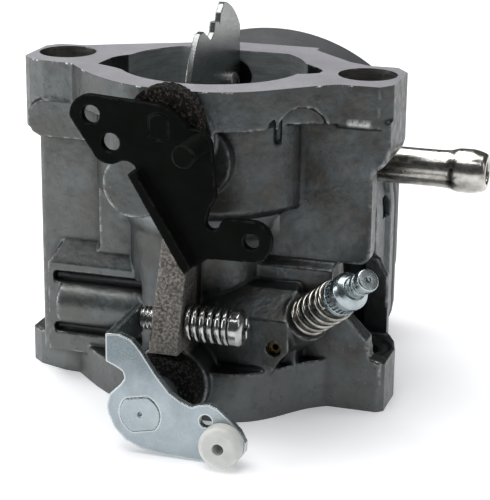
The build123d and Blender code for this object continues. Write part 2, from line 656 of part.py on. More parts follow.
with BuildPart() as idle_speed_spring:
    with BuildLine() as idle_coil:
        Helix(
            pitch=1.5,
            height=IDLE_HEAD_X - POST_X[1] - 2 * IDLE_WIRE_R - 0.1,
            radius=IDLE_SPRING_R,
            center=(POST_X[1] + IDLE_WIRE_R + 0.05, IDLE_Y, IDLE_Z),
            direction=(1, 0, 0),
        )
    with BuildSketch(Plane(origin=idle_coil.edges()[0] @ 0, z_dir=idle_coil.edges()[0] % 0)):
        Circle(IDLE_WIRE_R)
    sweep(path=idle_coil.edges()[0])

# ---------------------------------------------------------------- idle mixture screw
with BuildPart() as idle_mixture_screw:
    disc(mix_plane(-4.0), 2.5, 18.6)
    with BuildSketch(mix_plane(-4.0)):
        Circle(1.35)
    extrude(amount=-6.4, taper=7.5)
    disc(mix_plane(MIX_COLLAR[0]), 3.25, MIX_COLLAR[1] - MIX_COLLAR[0])
    with BuildSketch(mix_plane(MIX_COLLAR[1])):
        Circle(3.25)
    extrude(amount=1.1, taper=30)
    disc(mix_plane(MIX_COLLAR[1] + 1.0), 1.95, 1.8)
    disc(mix_plane(MIX_COLLAR[1] + 2.6), 1.65, 2.9)

with BuildPart() as idle_mixture_spring:
    with BuildLine() as mixture_coil:
        Helix(
            pitch=1.9,
            height=MIX_COLLAR[0] - MIX_SEAT - 2 * MIX_WIRE_R - 0.1,
            radius=MIX_SPRING_R,
            center=MIX_BASE + MIX_DIR * (MIX_SEAT + MIX_WIRE_R + 0.05),
            direction=tuple(MIX_DIR),
        )
    with BuildSketch(Plane(origin=mixture_coil.edges()[0] @ 0, z_dir=mixture_coil.edges()[0] % 0)):
        Circle(MIX_WIRE_R)
    sweep(path=mixture_coil.edges()[0])

with BuildPart() as metering_orifice:
    with BuildSketch(facing(-16.2)):
        with Locations((16.4, 12.9)):
            Circle(1.25)
            Circle(0.5, mode=Mode.SUBTRACT)
    extrude(amount=-2.9)

# ---------------------------------------------------------------- fuel inlet and metering
with BuildPart() as fuel_inlet_tube:
    with BuildSketch(Plane(origin=(0, INLET_Y, INLET_Z), x_dir=(1, 0, 0), z_dir=(0, -1, 0))):
        with BuildLine():
            Polyline((18.6, 1.9), (18.6, TUBE_R), (39.4, TUBE_R), (41.0, BARB_R), (44.2, BARB_R), (46.3, TUBE_R))
            Polyline((46.3, TUBE_R), (46.3, 1.9), (18.6, 1.9))
        make_face()
    revolve(axis=Axis((0, INLET_Y, INLET_Z), (1, 0, 0)))

with BuildPart() as needle_seat:
    with BuildSketch(Plane(origin=(NEEDLE_X, 0, BOWL_Z), x_dir=(1, 0, 0), z_dir=(0, 0, 1))):
        with BuildLine():
            Polyline((0.9, 11.4), (2.8, 11.4), (2.8, 19.0), (1.7, 19.0), (1.7, 14.6), (0.9, 13.8), (0.9, 11.4))
        make_face()
    revolve(axis=Axis((NEEDLE_X, 0, BOWL_Z), (0, 1, 0)))

with BuildPart() as inlet_needle:
    with BuildSketch(Plane(origin=(NEEDLE_X, 0, BOWL_Z), x_dir=(1, 0, 0), z_dir=(0, 0, 1))):
        with BuildLine():
            Polyline((0, 13.9), (0.5, 13.95), (1.62, 15.1), (1.62, 19.6), (0.8, 19.9), (0.8, 20.45), (0, 20.45), (0, 13.9))
        make_face()
    revolve(axis=Axis((NEEDLE_X, 0, BOWL_Z), (0, 1, 0)))

with BuildPart() as main_nozzle:
    with BuildSketch(facing(3.0)):
        with Locations((0, BOWL_Z)):
            Circle(2.2)
            Circle(1.0, mode=Mode.SUBTRACT)
    extrude(amount=-23.0)
    for y in (19.0, 21.0, 23.0):
        disc(across(-4), 0.4, 8.0, mode=Mode.SUBTRACT, at=(y, BOWL_Z))

with BuildPart() as main_jet:
    disc(facing(26.1), 3.0, -2.6, at=(0, BOWL_Z))
    disc(facing(25.0), 0.5, -5.0, mode=Mode.SUBTRACT, at=(0, BOWL_Z))
    with BuildSketch(facing(28.7)):
        with Locations((0, BOWL_Z)):
            Rectangle(7, 0.7)
    extrude(amount=0.8, mode=Mode.SUBTRACT)

# ---------------------------------------------------------------- float and bowl
with BuildPart() as float_hinge_pin:
    disc(level(BOWL_Z - 6.8), 0.8, 13.6, at=(HINGE_X, HINGE_Y))

with BuildPart() as bowl_float:
    with BuildSketch(facing(23.0)):
        with Locations((0, BOWL_Z)):
            Circle(18.0)
            Circle(8.0, mode=Mode.SUBTRACT)
    extrude(amount=-8.0)
    # hinge arm over the needle
    with BuildSketch(facing(20.55)):
        with Locations((17.0, BOWL_Z)):
            Rectangle(7.0, 5.6)
    extrude(amount=-1.2)
    with BuildSketch(facing(20.55)):
        with Locations((14.2, BOWL_Z)):
            Rectangle(1.8, 5.6)
    extrude(amount=-4.0)
    disc(level(BOWL_Z - 3.8), 1.9, 7.6, at=(HINGE_X, HINGE_Y))
    disc(level(BOWL_Z - 8), 0.86, 16.0, mode=Mode.SUBTRACT, at=(HINGE_X, HINGE_Y))

with BuildPart() as bowl_gasket:
    with BuildSketch(facing(BOWL_FACE)):
        rim_outline()
        bowl_outline(inset=1.1, mode=Mode.SUBTRACT)
    extrude(amount=-GASKET_T)

with BuildPart() as float_bowl:
    with BuildSketch(facing(BOWL_FACE + GASKET_T)):
        rim_outline()
    extrude(amount=-1.6)
    with BuildSketch(facing(BOWL_FACE + GASKET_T)):
        bowl_outline()
    extrude(amount=-(BOWL_END - BOWL_FACE - GASKET_T))
    far = float_bowl.faces().sort_by(Axis.Y)[-1]
    fillet(far.edges(), 2.4)
    with BuildSketch(facing(BOWL_FACE + GASKET_T)):
        bowl_outline(inset=BOWL_WALL)
    extrude(amount=-(BOWL_END - BOWL_WALL - BOWL_FACE - GASKET_T), mode=Mode.SUBTRACT)
    disc(facing(BOWL_END - 2), 3.2, -4.0, mode=Mode.SUBTRACT, at=(0, BOWL_Z))

with BuildPart() as bowl_bolt_washer:
    with BuildSketch(facing(BOWL_END)):
        with Locations((0, BOWL_Z)):
            Circle(7.0)
            Circle(3.2, mode=Mode.SUBTRACT)
    extrude(amount=-0.8)

with BuildPart() as bowl_bolt:
    with BuildSketch(facing(BOWL_END + 0.8)):
        with Locations((0, BOWL_Z)):
            RegularPolygon(radius=5.5, side_count=6, major_radius=False)
    extrude(amount=-5.0)
    chamfer(bowl_bolt.faces().sort_by(Axis.Y)[-1].edges(), 0.6)
    disc(facing(31.2), 2.95, -(BOWL_END + 0.8 - 31.2), at=(0, BOWL_Z))

# ---------------------------------------------------------------- export
carburetor_body.part.label = "carburetor_body"
export_step(carburetor_body.part, "parts/carburetor_body.step")
throttle_shaft.part.label = "throttle_shaft"
export_step(throttle_shaft.part, "parts/throttle_shaft.step")
throttle_plate.part.label = "throttle_plate"
export_step(throttle_plate.part, "parts/throttle_plate.step")
throttle_plate_screws.part.label = "throttle_plate_screws"
export_step(throttle_plate_screws.part, "parts/throttle_plate_screws.step")
throttle_lever.part.label = "throttle_lever"
export_step(throttle_lever.part, "parts/throttle_lever.step")
throttle_lever_bushing.part.label = "throttle_lever_bushing"
export_step(throttle_lever_bushing.part, "parts/throttle_lever_bushing.step")
throttle_shaft_seal.part.label = "throttle_shaft_seal"
export_step(throttle_shaft_seal.part, "parts/throttle_shaft_seal.step")
choke_shaft.part.label = "choke_shaft"
export_step(choke_shaft.part, "parts/choke_shaft.step")
choke_plate.part.label = "choke_plate"
export_step(choke_plate.part, "parts/choke_plate.step")
choke_plate_screws.part.label = "choke_plate_screws"
export_step(choke_plate_screws.part, "parts/choke_plate_screws.step")
choke_lever.part.label = "choke_lever"
export_step(choke_lever.part, "parts/choke_lever.step")
choke_lever_stud.part.label = "choke_lever_stud"
export_step(choke_lever_stud.part, "parts/choke_lever_stud.step")
choke_shaft_seal.part.label = "choke_shaft_seal"
export_step(choke_shaft_seal.part, "parts/choke_shaft_seal.step")
idle_speed_screw.part.label = "idle_speed_screw"
export_step(idle_speed_screw.part, "parts/idle_speed_screw.step")
idle_speed_spring.part.label = "idle_speed_spring"
export_step(idle_speed_spring.part, "parts/idle_speed_spring.step")
idle_mixture_screw.part.label = "idle_mixture_screw"
export_step(idle_mixture_screw.part, "parts/idle_mixture_screw.step")
idle_mixture_spring.part.label = "idle_mixture_spring"
export_step(idle_mixture_spring.part, "parts/idle_mixture_spring.step")
metering_orifice.part.label = "metering_orifice"
export_step(metering_orifice.part, "parts/metering_orifice.step")
fuel_inlet_tube.part.label = "fuel_inlet_tube"
export_step(fuel_inlet_tube.part, "parts/fuel_inlet_tube.step")
needle_seat.part.label = "needle_seat"
export_step(needle_seat.part, "parts/needle_seat.step")
inlet_needle.part.label = "inlet_needle"
export_step(inlet_needle.part, "parts/inlet_needle.step")
main_nozzle.part.label = "main_nozzle"
export_step(main_nozzle.part, "parts/main_nozzle.step")
main_jet.part.label = "main_jet"
export_step(main_jet.part, "parts/main_jet.step")
float_hinge_pin.part.label = "float_hinge_pin"
export_step(float_hinge_pin.part, "parts/float_hinge_pin.step")
bowl_float.part.label = "bowl_float"
export_step(bowl_float.part, "parts/bowl_float.step")
bowl_gasket.part.label = "bowl_gasket"
export_step(bowl_gasket.part, "parts/bowl_gasket.step")
float_bowl.part.label = "float_bowl"
export_step(float_bowl.part, "parts/float_bowl.step")
bowl_bolt_washer.part.label = "bowl_bolt_washer"
export_step(bowl_bolt_washer.part, "parts/bowl_bolt_washer.step")
bowl_bolt.part.label = "bowl_bolt"
export_step(bowl_bolt.part, "parts/bowl_bolt.step")
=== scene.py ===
"""Looks of a small-engine float carburetor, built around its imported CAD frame.

The body stands on its engine flange: +Z is up along the bore, -Y faces the levers, +Y the float bowl and
+X the fuel inlet. Lengths are in metres; MM turns a size in millimetres into metres.
"""

import json
import math

import bmesh
import bpy
import numpy as np
from mathutils import Matrix, Vector, noise


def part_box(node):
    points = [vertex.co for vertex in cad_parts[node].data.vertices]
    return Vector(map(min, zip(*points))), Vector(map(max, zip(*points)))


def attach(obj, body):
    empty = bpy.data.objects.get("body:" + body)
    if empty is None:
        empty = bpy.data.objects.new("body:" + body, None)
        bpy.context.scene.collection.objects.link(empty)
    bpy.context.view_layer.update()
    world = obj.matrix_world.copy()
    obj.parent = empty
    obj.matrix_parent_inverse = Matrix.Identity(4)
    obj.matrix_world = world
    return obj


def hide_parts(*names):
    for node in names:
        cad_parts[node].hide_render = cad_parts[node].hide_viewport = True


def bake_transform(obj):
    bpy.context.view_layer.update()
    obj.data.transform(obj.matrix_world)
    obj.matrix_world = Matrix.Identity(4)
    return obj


MM = 0.001
EDGE_BLURS = 10  # blurs that measure how sharp an edge is
SMOOTH_IN, SMOOTH_OUT = 0.5, 0.52  # a pass of smoothing, and the one that undoes its shrinking
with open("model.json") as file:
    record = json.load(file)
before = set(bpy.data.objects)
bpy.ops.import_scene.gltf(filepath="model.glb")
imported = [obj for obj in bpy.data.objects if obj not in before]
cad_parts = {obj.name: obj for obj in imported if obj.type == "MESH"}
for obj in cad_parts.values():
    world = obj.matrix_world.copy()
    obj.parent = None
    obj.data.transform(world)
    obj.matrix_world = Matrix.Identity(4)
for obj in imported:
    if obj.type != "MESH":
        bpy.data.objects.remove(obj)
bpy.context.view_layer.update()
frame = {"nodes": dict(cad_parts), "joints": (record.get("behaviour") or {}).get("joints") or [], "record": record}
nodes = frame["nodes"]

# ------------------------------------------------------------------ places taken from the frame
mounts = {m["name"]: m for m in frame["record"]["mounts"]}
joints = {j["name"]: j for j in frame["joints"]}
slot_of = {entry["node"]: entry["material_slot"] for entry in frame["record"]["subparts"]}
stud_x = mounts["air_horn_studs"]["dims"]["spacing_x_mm"] / 2 * MM
stud_wall = 5.2 * MM  # just outside the wall of the stud holes
horn_wall = 16.2 * MM  # just outside the wall of the air horn
horn_y = -1 * MM  # the air horn's axis


# ------------------------------------------------------------------ camera, lights and floor
def add_camera():
    """Long lens from the lever side, a little to the right and from above."""
    azimuth, elevation, roll = math.radians(17.2), math.radians(17.9), math.radians(0.67)
    back = Vector(
        (
            math.sin(azimuth) * math.cos(elevation),
            -math.cos(azimuth) * math.cos(elevation),
            math.sin(elevation),
        )
    )
    right = Vector((math.cos(azimuth), math.sin(azimuth), 0))
    up = back.cross(right)
    side = math.cos(roll) * right + math.sin(roll) * up
    top = -math.sin(roll) * right + math.cos(roll) * up
    data = bpy.data.cameras.new("camera")
    data.lens = 129.6
    data.sensor_width = 36
    data.clip_start = 0.01
    camera = bpy.data.objects.new("camera", data)
    bpy.context.scene.collection.objects.link(camera)
    place = Matrix.Translation((0.0949, -0.2876, 0.1212))
    camera.matrix_world = place @ Matrix((side, top, back)).transposed().to_4x4()
    bpy.context.scene.camera = camera


def area_light(name, place, target, width, height, watts, colour=(1, 1, 1)):
    data = bpy.data.lights.new(name, "AREA")
    data.shape = "RECTANGLE"
    data.size, data.size_y = width, height
    data.energy = watts
    data.color = colour
    light = bpy.data.objects.new(name, data)
    light.location = place
    light.rotation_euler = (Vector(target) - Vector(place)).to_track_quat("-Z", "Y").to_euler()
    bpy.context.scene.collection.objects.link(light)


def add_studio():
    scene = bpy.context.scene
    scene.view_settings.view_transform = "Standard"
    world = bpy.data.worlds.new("studio")
    scene.world = world
    world.use_nodes = True
    world.node_tree.nodes["Background"].inputs["Color"].default_value = (0.93, 0.95, 1.0, 1)
    world.node_tree.nodes["Background"].inputs["Strength"].default_value = 0.09
    middle = (0, 0, 0.03)
    area_light("overhead", (-0.15, 0.12, 0.8), middle, 0.8, 0.8, 8.0)
    area_light("left_card", (-0.36, -0.22, 0.16), middle, 0.16, 0.3, 0.62, (0.95, 0.98, 1.0))
    area_light("right_strip", (0.62, -0.10, 0.35), middle, 0.12, 0.5, 0.25)
    area_light("high_front_strip", (0.05, -0.40, 0.75), middle, 0.6, 0.06, 0.8, (0.97, 0.99, 1.0))


def add_floor():
    mesh = bpy.data.meshes.new("floor")
    reach = 4.0
    corners = [(-reach, -reach, 0), (reach, -reach, 0), (reach, reach, 0), (-reach, reach, 0)]
    mesh.from_pydata(corners, [], [(0, 1, 2, 3)])
    floor = bpy.data.objects.new("floor", mesh)
    bpy.context.scene.collection.objects.link(floor)
    paint = bpy.data.materials.new("floor_paint")
    paint.use_nodes = True
    shader = paint.node_tree.nodes["Principled BSDF"]
    shader.inputs["Base Color"].default_value = (0.93, 0.925, 0.935, 1)
    shader.inputs["Roughness"].default_value = 0.75
    shader.inputs["Specular IOR Level"].default_value = 0.2
    shader.inputs["Emission Color"].default_value = (0.97, 0.98, 1.0, 1)
    shader.inputs["Emission Strength"].default_value = 0.3
    mesh.materials.append(paint)


# ------------------------------------------------------------------ material kit
class Paint:
    """One procedural material: a Principled shader and the noise that feeds it."""

    def __init__(self, name, metallic=0.0, roughness=0.5):
        self.material = bpy.data.materials.new(name)
        self.material.use_nodes = True
        self.tree = self.material.node_tree
        self.shader = self.tree.nodes["Principled BSDF"]
        self.shader.inputs["Metallic"].default_value = metallic
        self.shader.inputs["Roughness"].default_value = roughness
        self.place = self.tree.nodes.new("ShaderNodeTexCoord").outputs["Object"]

    def node(self, kind, **values):
        made = self.tree.nodes.new(kind)
        for key, value in values.items():
            setattr(made, key, value)
        return made

    def link(self, source, target):
        self.tree.links.new(source, target)

    def stretched(self, scale):
        mapping = self.node("ShaderNodeMapping")
        mapping.inputs["Scale"].default_value = scale
        self.link(self.place, mapping.inputs["Vector"])
        return mapping.outputs["Vector"]

    def along(self, axis, low, high, to_low=0.0, to_high=1.0):
        """A share that runs from to_low to to_high between two places along an axis of the object."""
        split = self.node("ShaderNodeSeparateXYZ")
        self.link(self.place, split.inputs["Vector"])
        return self.between(split.outputs[axis], low, high, to_low, to_high)

    def inside(self, low, high, blur):
        """1 inside a box of the object's own space and 0 outside; None leaves a side open."""
        share = None
        for axis, start, end in zip("XYZ", low, high):
            for place, way in ((start, -1), (end, 1)):
                if place is not None:
                    side = self.along(axis, place + way * blur, place, 0, 1)
                    share = side if share is None else self.times(share, side)
        return share

    def bore(self, x, y, radius, blur):
        """1 inside an upright round bore of the object and 0 outside."""
        shift = self.node("ShaderNodeVectorMath", operation="MULTIPLY_ADD")
        shift.inputs[1].default_value = (1, 1, 0)
        shift.inputs[2].default_value = (-x, -y, 0)
        self.link(self.place, shift.inputs[0])
        reach = self.node("ShaderNodeVectorMath", operation="LENGTH")
        self.link(shift.outputs["Vector"], reach.inputs[0])
        return self.between(reach.outputs["Value"], radius + blur, radius, 0, 1)

    def noise(self, size, detail=4.0, roughness=0.55, stretch=None):
        """Noise with features about size metres across."""
        made = self.node("ShaderNodeTexNoise")
        made.inputs["Scale"].default_value = 1.0 / size
        made.inputs["Detail"].default_value = detail
        made.inputs["Roughness"].default_value = roughness
        self.link(self.stretched(stretch) if stretch else self.place, made.inputs["Vector"])
        return made.outputs["Fac"]

    def between(self, value, low, high, to_low=0.0, to_high=1.0):
        """Maps value from low..high to to_low..to_high, clamped."""
        made = self.node("ShaderNodeMapRange")
        made.inputs["From Min"].default_value = low
        made.inputs["From Max"].default_value = high
        made.inputs["To Min"].default_value = to_low
        made.inputs["To Max"].default_value = to_high
        self.link(value, made.inputs["Value"])
        return made.outputs["Result"]

    def attribute(self, name):
        return self.node("ShaderNodeAttribute", attribute_name=name).outputs["Fac"]

    def maths(self, operation, first, second):
        made = self.node("ShaderNodeMath", operation=operation)
        for index, value in enumerate((first, second)):
            if isinstance(value, (int, float)):
                made.inputs[index].default_value = value
            else:
                self.link(value, made.inputs[index])
        return made.outputs["Value"]

    def plus(self, first, second):
        return self.maths("ADD", first, second)

    def times(self, first, second):
        return self.maths("MULTIPLY", first, second)

    def larger(self, first, second):
        return self.maths("MAXIMUM", first, second)

    def mix(self, share, first, second):
        """Colour first where share is 0 and second where it is 1."""
        made = self.node("ShaderNodeMix", data_type="RGBA")
        self.link(share, made.inputs["Factor"])
        for socket, value in ((made.inputs["A"], first), (made.inputs["B"], second)):
            socket = next(s for s in made.inputs if s.name == socket.name and s.type == "RGBA")
            if isinstance(value, tuple):
                socket.default_value = (*value, 1)
            else:
                self.link(value, socket)
        return next(s for s in made.outputs if s.type == "RGBA")

    def colour(self, output):
        self.link(output, self.shader.inputs["Base Color"])

    def rough(self, output):
        self.link(output, self.shader.inputs["Roughness"])

    def bump(self, *layers):
        """Each layer is (height output, depth in metres)."""
        last = None
        for height, depth in layers:
            made = self.node("ShaderNodeBump")
            made.inputs["Strength"].default_value = 1.0
            made.inputs["Distance"].default_value = depth
            self.link(height, made.inputs["Height"])
            if last is not None:
                self.link(last, made.inputs["Normal"])
            last = made.outputs["Normal"]
        self.link(last, self.shader.inputs["Normal"])


# ------------------------------------------------------------------ materials
def cast_aluminium():
    """Die-cast skin: dark cool grey with brown clouds, bright worn edges and painted shade in the recesses.

    The screw post's front is granular, the stud holes and the horn are bored smooth, the top rim and one patch
    under the right ear are worn bare, and the top rim carries painted glints. Painted light makes the left side,
    the bottom and the horn lighter, and painted highlights brighten the edges towards the left.
    """
    shine = 0.88
    p = Paint("cast_aluminium", metallic=shine)
    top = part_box("carburetor_body")[1].z
    screw_y = joints["idle_screw_turn"]["pos_m"][1]
    seal_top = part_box("throttle_shaft_seal")[1].z

    # where the skin differs
    post_low = (-2.6 * MM, None, seal_top - 0.5 * MM)
    post_high = (3.2 * MM, screw_y + 4.5 * MM, 38 * MM)
    post = p.inside(post_low, post_high, 0.6 * MM)
    stud_holes = [p.bore(side * stud_x, 0, stud_wall, 0.15 * MM) for side in (-1, 1)]
    bored = p.times(p.larger(*stud_holes), p.along("Z", 36 * MM, 40 * MM))
    horn = p.times(p.bore(0, horn_y, horn_wall, 0.2 * MM), p.along("Z", 30 * MM, 36 * MM))
    rim = p.along("Z", top - 0.30 * MM, top - 0.12 * MM)
    scuffed = p.inside((26.4 * MM, None, 50.4 * MM), (29.4 * MM, -8.4 * MM, 50.7 * MM), 0.8 * MM)

    # clouds, from large to small, and painted light on the left side and the bottom
    patches = p.between(p.noise(8 * MM, 4, 0.55), 0.38, 0.62)
    skin = p.mix(patches, (0.058, 0.058, 0.053), (0.090, 0.101, 0.105))
    tan = p.between(p.noise(5 * MM, 4, 0.6), 0.55, 0.72, 0, 0.4)
    skin = p.mix(tan, skin, (0.112, 0.096, 0.077))
    # painted light: the left side made lighter, where the light falls on it
    skin = p.mix(p.along("X", 0, -20 * MM, 0, 0.40), skin, (0.190, 0.196, 0.188))
    # painted light: the bottom made lighter, as lit from the bright floor
    skin = p.mix(p.along("Z", 14 * MM, 3 * MM, 0, 0.45), skin, (0.170, 0.178, 0.176))
    stains = p.between(p.noise(1.9 * MM, 5, 0.65), 0.55, 0.72, 0, 0.45)
    skin = p.mix(stains, skin, (0.060, 0.062, 0.060))
    specks = p.between(p.noise(0.5 * MM, 3, 0.6), 0.65, 0.71, 0, 0.6)
    skin = p.mix(specks, skin, (0.025, 0.025, 0.023))
    grains = p.between(p.noise(0.40 * MM, 2), 0.70, 0.76, 0, 0.45)
    skin = p.mix(grains, skin, (0.28, 0.29, 0.29))

    # granular post, bored holes, and a horn painted lighter as painted light
    grit = p.between(p.noise(0.45 * MM, 4, 0.7), 0.44, 0.62)
    skin = p.mix(post, skin, p.mix(grit, (0.160, 0.145, 0.130), (0.430, 0.405, 0.370)))
    rings = p.between(p.noise(0.5 * MM, 3, stretch=(0.15, 0.15, 1)), 0.35, 0.65)
    skin = p.mix(bored, skin, p.mix(rings, (0.190, 0.186, 0.172), (0.330, 0.320, 0.295)))
    # the horn's bore: partly a paler bored finish, partly painted light standing in for light inside the horn
    skin = p.mix(horn, skin, p.mix(rings, (0.330, 0.362, 0.370), (0.440, 0.475, 0.482)))

    # painted shade in the recesses; edges partly worn and partly painted highlight
    outside_bores = p.between(p.larger(bored, horn), 0, 1, 1, 0.1)
    # painted shade: recesses darkened to near black, much less in the bored holes and the horn
    recess_shade = p.times(p.between(p.attribute("recess"), 0.07 * MM, 0.7 * MM, 0, 0.85), outside_bores)
    skin = p.mix(recess_shade, skin, (0.018, 0.019, 0.020))
    broken = p.between(p.noise(1.8 * MM, 6, 0.7), 0.47, 0.64)
    wear_and_highlight = p.times(p.between(p.attribute("edge"), 0.07 * MM, 0.22 * MM, 0, 0.7), broken)
    # painted highlight: the worn edges made brighter towards the left
    wear_and_highlight = p.times(wear_and_highlight, p.along("X", 8 * MM, -12 * MM, 0.8, 1.25))
    skin = p.mix(wear_and_highlight, skin, (0.40, 0.42, 0.42))
    scuff = p.times(scuffed, p.between(p.noise(0.8 * MM, 5, 0.7), 0.38, 0.52))
    skin = p.mix(scuff, skin, (0.42, 0.43, 0.42))
    # painted glints: the rim's burrs made near white in patches
    burr_glints = p.times(rim, p.between(p.noise(2.4 * MM, 4, 0.6), 0.56, 0.62))
    skin = p.mix(burr_glints, skin, (0.78, 0.80, 0.80))

    p.colour(skin)
    p.link(p.between(horn, 0, 1, shine, 0.25), p.shader.inputs["Metallic"])
    p.rough(p.plus(p.between(p.noise(1.3 * MM, 5), 0.3, 0.7, 0.30, 0.46), p.times(wear_and_highlight, -0.10)))
    p.bump(
        (p.noise(5 * MM, 3), 0.30 * MM),
        (p.noise(1.2 * MM, 4), 0.05 * MM),
        (p.noise(0.35 * MM, 4), 0.02 * MM),
        (p.times(grit, post), 0.10 * MM),
    )
    return p.material


def machined_aluminium():
    """Faced flange: paler and smoother, with faint cutter marks and small pits."""
    p = Paint("machined_aluminium", metallic=0.75)
    patches = p.between(p.noise(9 * MM, 3), 0.35, 0.65)
    skin = p.mix(patches, (0.375, 0.366, 0.392), (0.440, 0.432, 0.455))
    scratches = p.between(p.noise(0.2 * MM, 3, stretch=(1, 0.05, 1)), 0.58, 0.75, 0, 0.4)
    skin = p.mix(scratches, skin, (0.25, 0.25, 0.26))
    pits = p.between(p.noise(0.5 * MM, 3), 0.68, 0.74, 0, 0.7)
    skin = p.mix(pits, skin, (0.11, 0.11, 0.11))
    p.colour(skin)
    p.rough(p.between(p.noise(0.6 * MM, 4), 0.3, 0.7, 0.44, 0.56))
    p.bump((p.noise(0.22 * MM, 3, stretch=(1, 0.06, 1)), 0.006 * MM), (p.noise(1.8 * MM, 3), 0.03 * MM))
    return p.material


def steel(name, tone, dull, least_roughness):
    """Bare or plated steel with cloudy gloss, from tone to dull."""
    p = Paint(name, metallic=1.0)
    patches = p.between(p.noise(1.6 * MM, 4), 0.35, 0.7)
    p.colour(p.mix(patches, tone, dull))
    p.rough(p.between(p.noise(0.7 * MM, 4), 0.3, 0.7, least_roughness, least_roughness + 0.12))
    p.bump((p.noise(0.8 * MM, 3), 0.02 * MM))
    return p.material


def zinc_plate(name, worn):
    """Bluish zinc plating: cloudy gloss, painted shade towards the tab, and bright edges, partly worn, partly
    painted highlight.
    """
    p = Paint(name, metallic=0.9)
    clouds = p.between(p.noise(4 * MM, 4), 0.3, 0.7)
    skin = p.mix(clouds, (0.29, 0.34, 0.365), (0.39, 0.445, 0.465))
    grains = p.between(p.noise(0.26 * MM, 3, 0.6), 0.50, 0.66)
    dull = p.mix(grains, (0.175, 0.215, 0.228), (0.040, 0.052, 0.056))
    # painted shade: darker and grainier towards the tab
    height = p.along("Z", 8.5 * MM, 17 * MM, -0.1, 1.1)
    shade_toward_tab = p.plus(height, p.between(p.noise(3 * MM, 4), 0.3, 0.7, -0.2, 0.2))
    skin = p.mix(p.between(shade_toward_tab, 0, 1, 0, 0.85), skin, dull)
    skin = p.mix(p.times(grains, 0.08), skin, (0.75, 0.80, 0.82))
    # bright edges: partly wear, partly painted highlight
    wear_and_highlight = p.between(p.attribute("edge"), 0.016 * MM, 0.038 * MM, 0, worn)
    skin = p.mix(wear_and_highlight, skin, (0.70, 0.73, 0.73))
    p.colour(skin)
    p.rough(p.plus(p.between(p.noise(1.2 * MM, 5), 0.3, 0.7, 0.24, 0.38), p.times(wear_and_highlight, -0.1)))
    p.bump(
        (p.noise(6 * MM, 2), 0.35 * MM),
        (p.noise(1.6 * MM, 3), 0.03 * MM),
        (p.noise(0.24 * MM, 3), 0.008 * MM),
    )
    return p.material


def satin_steel():
    """Choke plate: plain rolled steel with fine lines along its width."""
    p = Paint("satin_steel", metallic=1.0)
    clouds = p.between(p.noise(6 * MM, 3), 0.3, 0.7)
    p.colour(p.mix(clouds, (0.24, 0.25, 0.24), (0.31, 0.32, 0.31)))
    p.rough(p.between(p.noise(0.3 * MM, 3, stretch=(1, 0.15, 1)), 0.3, 0.7, 0.26, 0.38))
    p.bump((p.noise(0.16 * MM, 3, stretch=(1, 0.1, 1)), 0.004 * MM))
    return p.material


def black_paint():
    """Dull black finish with small chips and a faint painted highlight along the edges."""
    p = Paint("black_paint", metallic=0.0)
    p.shader.inputs["Specular IOR Level"].default_value = 0.02
    clouds = p.between(p.noise(4 * MM, 4), 0.35, 0.7)
    skin = p.mix(clouds, (0.0036, 0.0044, 0.0036), (0.0058, 0.0066, 0.0057))
    chips = p.between(p.noise(0.5 * MM, 3), 0.74, 0.78, 0, 0.6)
    skin = p.mix(chips, skin, (0.05, 0.05, 0.05))
    # painted highlight: a faint grey along the edges, broken up by noise
    highlight_breakup = p.between(p.noise(1.2 * MM, 5, 0.7), 0.45, 0.62)
    wear_and_highlight = p.times(p.between(p.attribute("edge"), 0.018 * MM, 0.040 * MM, 0, 0.5), highlight_breakup)
    p.colour(p.mix(wear_and_highlight, skin, (0.028, 0.029, 0.027)))
    p.rough(p.between(p.noise(0.8 * MM, 5), 0.3, 0.7, 0.36, 0.55))
    p.bump((p.noise(0.6 * MM, 4), 0.018 * MM))
    return p.material


def white_nylon():
    """Milky moulded plastic."""
    p = Paint("white_nylon", roughness=0.38)
    clouds = p.between(p.noise(2.5 * MM, 3), 0.3, 0.7)
    p.colour(p.mix(clouds, (0.60, 0.605, 0.57), (0.72, 0.725, 0.69)))
    p.shader.inputs["Subsurface Weight"].default_value = 0.4
    p.shader.inputs["Subsurface Radius"].default_value = (1.0, 0.95, 0.9)
    p.shader.inputs["Subsurface Scale"].default_value = 1.2 * MM
    p.bump((p.noise(0.5 * MM, 3), 0.012 * MM))
    return p.material


def foam(name, dark, light):
    """Open-cell foam: dark cells with paler struts."""
    p = Paint(name, roughness=0.9)
    p.shader.inputs["Specular IOR Level"].default_value = 0.15
    struts = p.between(p.noise(0.5 * MM, 3, 0.7), 0.52, 0.62)
    p.colour(p.mix(struts, dark, light))
    p.bump((p.noise(0.4 * MM, 3, 0.7), 0.25 * MM))
    return p.material


def bowl_steel():
    """Pressed bowl: dark grey, dull, with faint draw marks and scuffs."""
    p = Paint("bowl_steel", metallic=0.45)
    clouds = p.between(p.noise(8 * MM, 4), 0.3, 0.7)
    skin = p.mix(clouds, (0.085, 0.087, 0.090), (0.115, 0.117, 0.120))
    scuffs = p.between(p.noise(0.6 * MM, 5, 0.7, stretch=(1, 0.3, 1)), 0.62, 0.74, 0, 0.4)
    skin = p.mix(scuffs, skin, (0.17, 0.17, 0.173))
    p.colour(skin)
    p.rough(p.between(p.noise(1.0 * MM, 4), 0.3, 0.7, 0.46, 0.6))
    p.bump((p.noise(6 * MM, 2), 0.08 * MM), (p.noise(0.4 * MM, 4), 0.01 * MM))
    return p.material


def brass(name, brightness):
    """Turned brass; a low brightness is tarnished."""
    p = Paint(name, metallic=1.0)
    clouds = p.between(p.noise(1.5 * MM, 4), 0.3, 0.7)
    dull = tuple(share * brightness for share in (0.62, 0.43, 0.17))
    bright = tuple(share * brightness for share in (0.74, 0.55, 0.26))
    p.colour(p.mix(clouds, dull, bright))
    p.rough(p.between(p.noise(0.5 * MM, 4), 0.3, 0.7, 0.22, 0.34))
    p.bump((p.noise(0.3 * MM, 3), 0.006 * MM))
    return p.material


